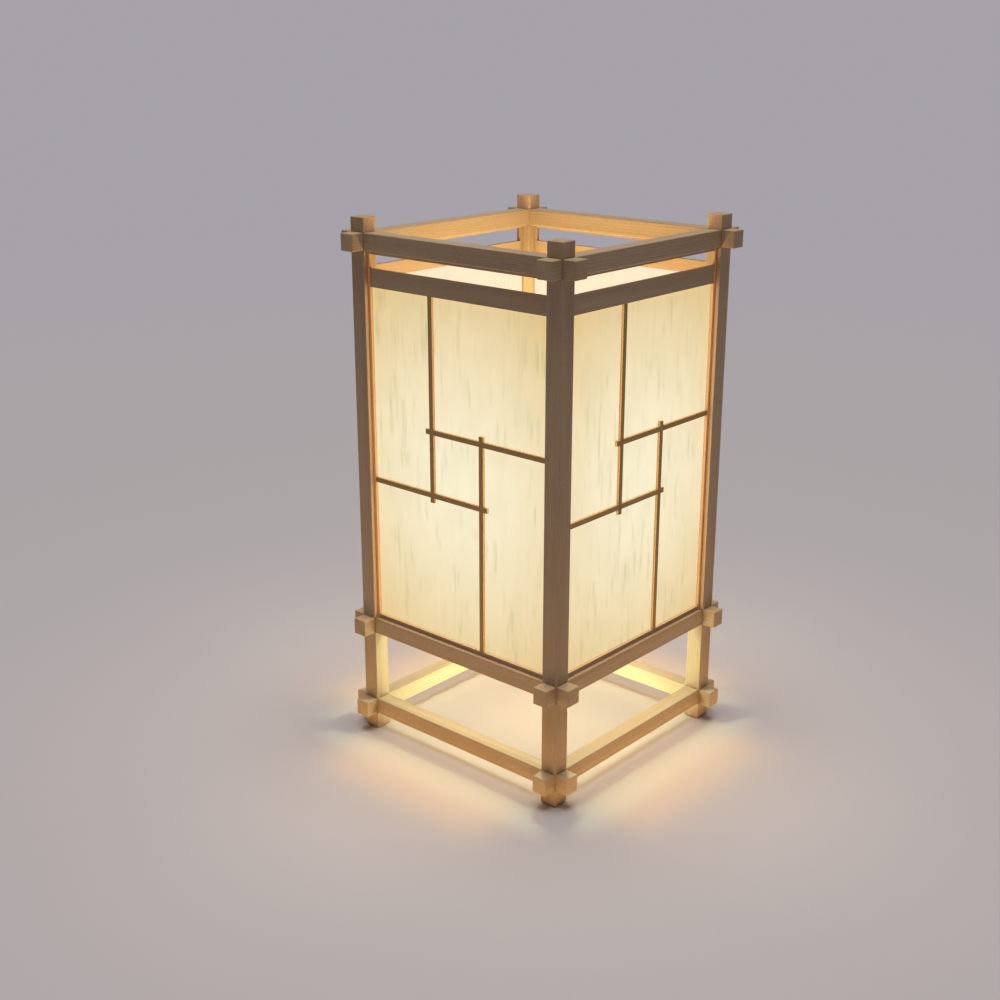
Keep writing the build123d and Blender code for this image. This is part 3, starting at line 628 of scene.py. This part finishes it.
def insulator():
    """Glass cone under the cap, hollowed a little between rim and tip, and the
    solder button on it: half an ellipse turned about the axis."""
    low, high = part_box("bulb_contact")
    around = np.zeros((1, 64))
    share = np.linspace(0.0, 1.0, 20)[:, None] + around
    cone_foot = low.z + SOLDER_HEIGHT
    cone_taper = SOLDER_RADIUS + SOLDER_LEDGE - INSULATOR_RADIUS
    cone_radius = INSULATOR_RADIUS + cone_taper * share ** 0.8
    cone_height = high.z - INSULATOR_RIM + (cone_foot - high.z + INSULATOR_RIM) * share
    rim = INSULATOR_RADIUS + around
    rim_height = high.z + around
    cone = turned_object("glass_insulator",
                         np.concatenate([0.5 * rim, rim, cone_radius, 0.5 * cone_radius[-1:]]),
                         np.concatenate([rim_height, rim_height, cone_height,
                                         cone_foot + around]),
                         "bulb_contact_body", "cap_insulator", poles=True)
    bow = np.pi / 2 * share[:-1]
    button = turned_object("solder_button",
                           np.concatenate([0.5 * SOLDER_RADIUS + around,
                                           SOLDER_RADIUS * np.cos(bow)]),
                           np.concatenate([cone_foot + SOLDER_SUNK + around,
                                           cone_foot - SOLDER_BOW * np.sin(bow)]),
                           "bulb_contact_body", "cap_nickel", poles=True)
    return cone, button


def globe():
    """Blown shell: above its middle a sphere; below it the radius eases from
    the globe's to the neck's as a smoothstep of the height, down into the cap."""
    low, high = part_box("bulb_globe")
    middle = high.z - GLOBE_RADIUS
    neck_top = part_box("bulb_cap")[1].z
    around = np.zeros((1, 96))
    turn = np.linspace(0.0, np.pi / 2, 40)[1:, None] + around
    share = np.linspace(0.0, 1.0, 60)[1:, None] + around
    ease = share * share * (3 - 2 * share)
    rows = []
    for inset in (0.0, GLOBE_WALL):
        radius, neck = GLOBE_RADIUS - inset, NECK_RADIUS - inset
        rows.append(np.concatenate([radius * np.sin(turn), radius + (neck - radius) * ease,
                                    neck + around]))
        rows.append(np.concatenate([middle + radius * np.cos(turn),
                                    middle + (neck_top - middle) * share, low.z + around]))
    return turned_object("opal_globe", *section(*rows), "bulb_body", "opal_glass", poles=True)


solder = metal("solder", (0.62, 0.61, 0.60, 1.0), 0.42, 500.0)
nickel = metal("pressed_nickel", (0.66, 0.64, 0.60, 1.0), 0.27, 800.0)
cap = screw_cap()
cap.data.materials.append(nickel)
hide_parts("bulb_cap")
cone, button = insulator()
cone.data.materials.append(moulding("insulator_black", (0.02, 0.02, 0.024, 1.0), 0.15))
button.data.materials.append(solder)
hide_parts("bulb_contact")
bulb = globe()
bulb.data.materials.append(opal_glass())
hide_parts("bulb_globe")


# ------------------------------------------------- floor, lights and camera
# A pale floor that fades into the background, one wide soft sun overhead with
# an even sky round it, and the warm light of the bulb and of the lit paper.
# Lamps that reach one group of pieces alone carry that warmth further.

FLOOR_COLOUR = (0.370, 0.355, 0.400, 1.0)
BACKGROUND = (0.384, 0.363, 0.398, 1.0)
FLOOR_HALF = 30.0
FADE_START, FADE_END = 1.2, 4.5         # from the lamp, where the floor fades out
floor_mesh = bpy.data.meshes.new("floor")
floor_mesh.from_pydata([(-FLOOR_HALF, -FLOOR_HALF, 0.0), (FLOOR_HALF, -FLOOR_HALF, 0.0),
                        (FLOOR_HALF, FLOOR_HALF, 0.0), (-FLOOR_HALF, FLOOR_HALF, 0.0)],
                       [], [(0, 1, 2, 3)])
floor = bpy.data.objects.new("floor", floor_mesh)
bpy.context.scene.collection.objects.link(floor)


def seen_directly(tree):
    """1 to the camera, in mirrors and through glass, and 0 to fallen light."""
    ray = node(tree, "LightPath").outputs
    mirrored = calculate(tree, "MAXIMUM", ray["Is Camera Ray"], ray["Is Glossy Ray"])
    return calculate(tree, "MAXIMUM", mirrored, ray["Is Transmission Ray"])


floor_material, tree, shader, place = new_material("pale_floor")
shader.inputs["Base Color"].default_value = FLOOR_COLOUR
shader.inputs["Roughness"].default_value = 0.9
shader.inputs["Specular IOR Level"].default_value = 0.1
away = node(tree, "VectorMath", {0: place}, operation="LENGTH").outputs["Value"]
faded = remap(tree, away, FADE_START, FADE_END)
distance_glow = node(tree, "Emission", {"Color": BACKGROUND, "Strength": 1.0})
fade = node(tree, "MixShader", {0: calculate(tree, "MULTIPLY", faded, seen_directly(tree)),
                                1: shader.outputs[0], 2: distance_glow.outputs[0]})
tree.links.new(fade.outputs[0], tree.nodes["Material Output"].inputs["Surface"])
floor.data.materials.append(floor_material)

world = bpy.data.worlds.new("studio")
bpy.context.scene.world = world
world.use_nodes = True
tree = world.node_tree
sky = node(tree, "Background", {"Color": (1.0, 0.92, 0.98, 1.0), "Strength": 0.105})
backdrop = node(tree, "Background", {"Color": BACKGROUND, "Strength": 1.0})
chosen = node(tree, "MixShader", {0: seen_directly(tree), 1: sky.outputs[0],
                                  2: backdrop.outputs[0]})
tree.links.new(chosen.outputs[0], tree.nodes["World Output"].inputs["Surface"])


def linked(name, pieces, state="INCLUDE"):
    """Collection of the pieces that a lamp alone shines on, or leaves out."""
    group = bpy.data.collections.new(name)
    for piece in pieces:
        group.objects.link(piece)
    for entry in group.collection_objects:
        entry.light_linking.link_state = state
    return group


unlit_by_lamps = linked("unlit_by_lamps", papers + [bulb], "EXCLUDE")
unlit_by_bulb = linked("unlit_by_bulb", papers + [bulb, floor], "EXCLUDE")
open_base = linked("open_base", [nodes[name] for name in nodes
                                 if name.startswith(("feet", "base_rail_", "lower_post_"))])
panel_edges = linked("panel_edges",
                     [nodes[name] for name in nodes if name.endswith("_stile")])
caps_alone = linked("caps_alone", [nodes["post_caps"]])
floor_alone = linked("floor_alone", [floor])


def lamp(name, kind, power, colour, place, turn=(0.0, 0.0, 0.0),
         shines_on=unlit_by_lamps, **settings):
    """Light at a place, facing straight down unless it is turned.  It shines on
    what its collection holds, or on all but what that leaves out."""
    light = bpy.data.lights.new(name, kind)
    light.energy = power
    light.color = colour
    for key, value in settings.items():
        setattr(light, key, value)
    made = bpy.data.objects.new(name, light)
    made.location = place
    made.rotation_euler = turn
    made.visible_camera = False
    bpy.context.scene.collection.objects.link(made)
    if shines_on:
        made.visible_glossy = False
        made.light_linking.receiver_collection = shines_on


def round_the_sides(name, power, colour, depth, height, size, tilt,
                    shines_on=unlit_by_lamps):
    """The same soft area light at each side: how far it is from the axis and
    how high, its size along and across, and its tilt from facing down."""
    for side in SIDES:
        quarter = SIDES.index(side) * np.pi / 2
        place = (depth * np.sin(quarter), -depth * np.cos(quarter), height)
        lamp(f"{side}_{name}", "AREA", power, colour, place,
             (radians(tilt), 0.0, quarter), shines_on,
             shape="RECTANGLE", size=size[0], size_y=size[1])


opening_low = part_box("front_panel_sill_rail")[1].z
opening_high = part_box("front_panel_head_rails")[0].z
opening = (2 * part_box("front_panel_right_stile")[0].x, opening_high - opening_low)
opening_middle = (opening_low + opening_high) / 2
SUN_SPREAD = 40                 # degrees
BULB_SOFTNESS = 0.029           # a little under the globe's radius
BASE_SOFTNESS = 0.04
BASE_GLOW_HEIGHT = 0.250
CAP_GLOW_HEIGHT = 0.610         # clear of the top rails, which would shade the caps
JUST_OFF_THE_FLOOR = 0.001
OUT_OF_THE_PAPER, INTO_THE_LAMP = 0.1414, 0.1395        # from the axis
SPILL_DEPTH = 0.2525            # middle of the strip of floor beside the base
GLOW_DEPTH, GLOW_HEIGHT = 0.205, 0.030
UNDER_RAIL_DEPTH, UNDER_RAIL_HEIGHT = 0.1405, 0.0200
EDGE_DEPTH = 0.60
lamp("overhead", "SUN", 3.0, (1.0, 0.97, 0.87), (0.0, 0.0, 3.0), shines_on=None,
     angle=radians(SUN_SPREAD))
lamp("bulb_light", "POINT", 2.1, (0.88, 1.0, 0.58), (0.0, 0.0, BULB_HEIGHT),
     shines_on=unlit_by_bulb, shadow_soft_size=BULB_SOFTNESS)
lamp("base_glow", "POINT", 2.1, (0.45, 1.0, 0.99), (0.0, 0.0, BASE_GLOW_HEIGHT),
     shines_on=open_base, shadow_soft_size=BASE_SOFTNESS)
lamp("floor_bounce_inside", "AREA", 1.10, (0.82, 1.0, 0.60),
     (0.0, 0.0, JUST_OFF_THE_FLOOR), (np.pi, 0.0, 0.0), shape="SQUARE", size=0.25)
round_the_sides("paper_glow_out", 0.95, (1.0, 0.72, 0.40), OUT_OF_THE_PAPER,
                opening_middle, opening, tilt=-90)
round_the_sides("paper_glow_in", 0.92, (1.0, 0.64, 0.24), INTO_THE_LAMP,
                opening_middle, opening, tilt=90)
round_the_sides("floor_bounce", 0.46, (1.0, 0.60, 0.20), SPILL_DEPTH,
                JUST_OFF_THE_FLOOR, (0.42, 0.175), tilt=180)
round_the_sides("floor_glow", 0.060, (1.0, 0.51, 0.05), GLOW_DEPTH,
                GLOW_HEIGHT, (0.24, 0.09), tilt=0)
round_the_sides("under_rail", 0.022, (1.0, 0.78, 0.48), UNDER_RAIL_DEPTH,
                UNDER_RAIL_HEIGHT, (0.26, 0.019), tilt=0)
round_the_sides("edge_warmth", 1.8, (1.0, 0.36, 0.03), EDGE_DEPTH,
                opening_middle, (0.10, 0.10), tilt=90, shines_on=panel_edges)
lamp("cap_glow", "POINT", 0.95, (1.0, 0.69, 0.48), (0.0, 0.0, CAP_GLOW_HEIGHT),
     shines_on=caps_alone, shadow_soft_size=BULB_SOFTNESS)
lamp("floor_pool", "POINT", 3.49, (0.76, 1.0, 0.53), (0.0, 0.0, BULB_HEIGHT),
     shines_on=floor_alone, shadow_soft_size=BULB_SOFTNESS)
# The bulb's lamps stand in or close over these, so they cast no shadow.
for name in ("cross_bar", "cross_bar_screws", "pipe_nuts", "cord_bush", "lampholder_body"):
    nodes[name].visible_shadow = False
for name in ("threaded_tube", "screw_shell", "centre_contact", "screw_cap", "glass_insulator",
             "solder_button", "opal_globe"):
    bpy.data.objects[name].visible_shadow = False

CAMERA_PLACE = (0.9978, -1.2000, 0.8140)
CAMERA_TURN = 41.48             # degrees, right of looking along +Y
CAMERA_DOWN = 18.66             # degrees below the horizon
CAMERA_LENS, CAMERA_SENSOR = 50.2, 36.0         # millimetres
eye = bpy.data.cameras.new("camera")
eye.lens = CAMERA_LENS
eye.sensor_width = CAMERA_SENSOR
camera = bpy.data.objects.new("camera", eye)
camera.location = CAMERA_PLACE
camera.rotation_euler = (radians(90 - CAMERA_DOWN), 0.0, radians(CAMERA_TURN))
bpy.context.scene.collection.objects.link(camera)
bpy.context.scene.camera = camera
bpy.context.scene.view_settings.view_transform = "Standard"
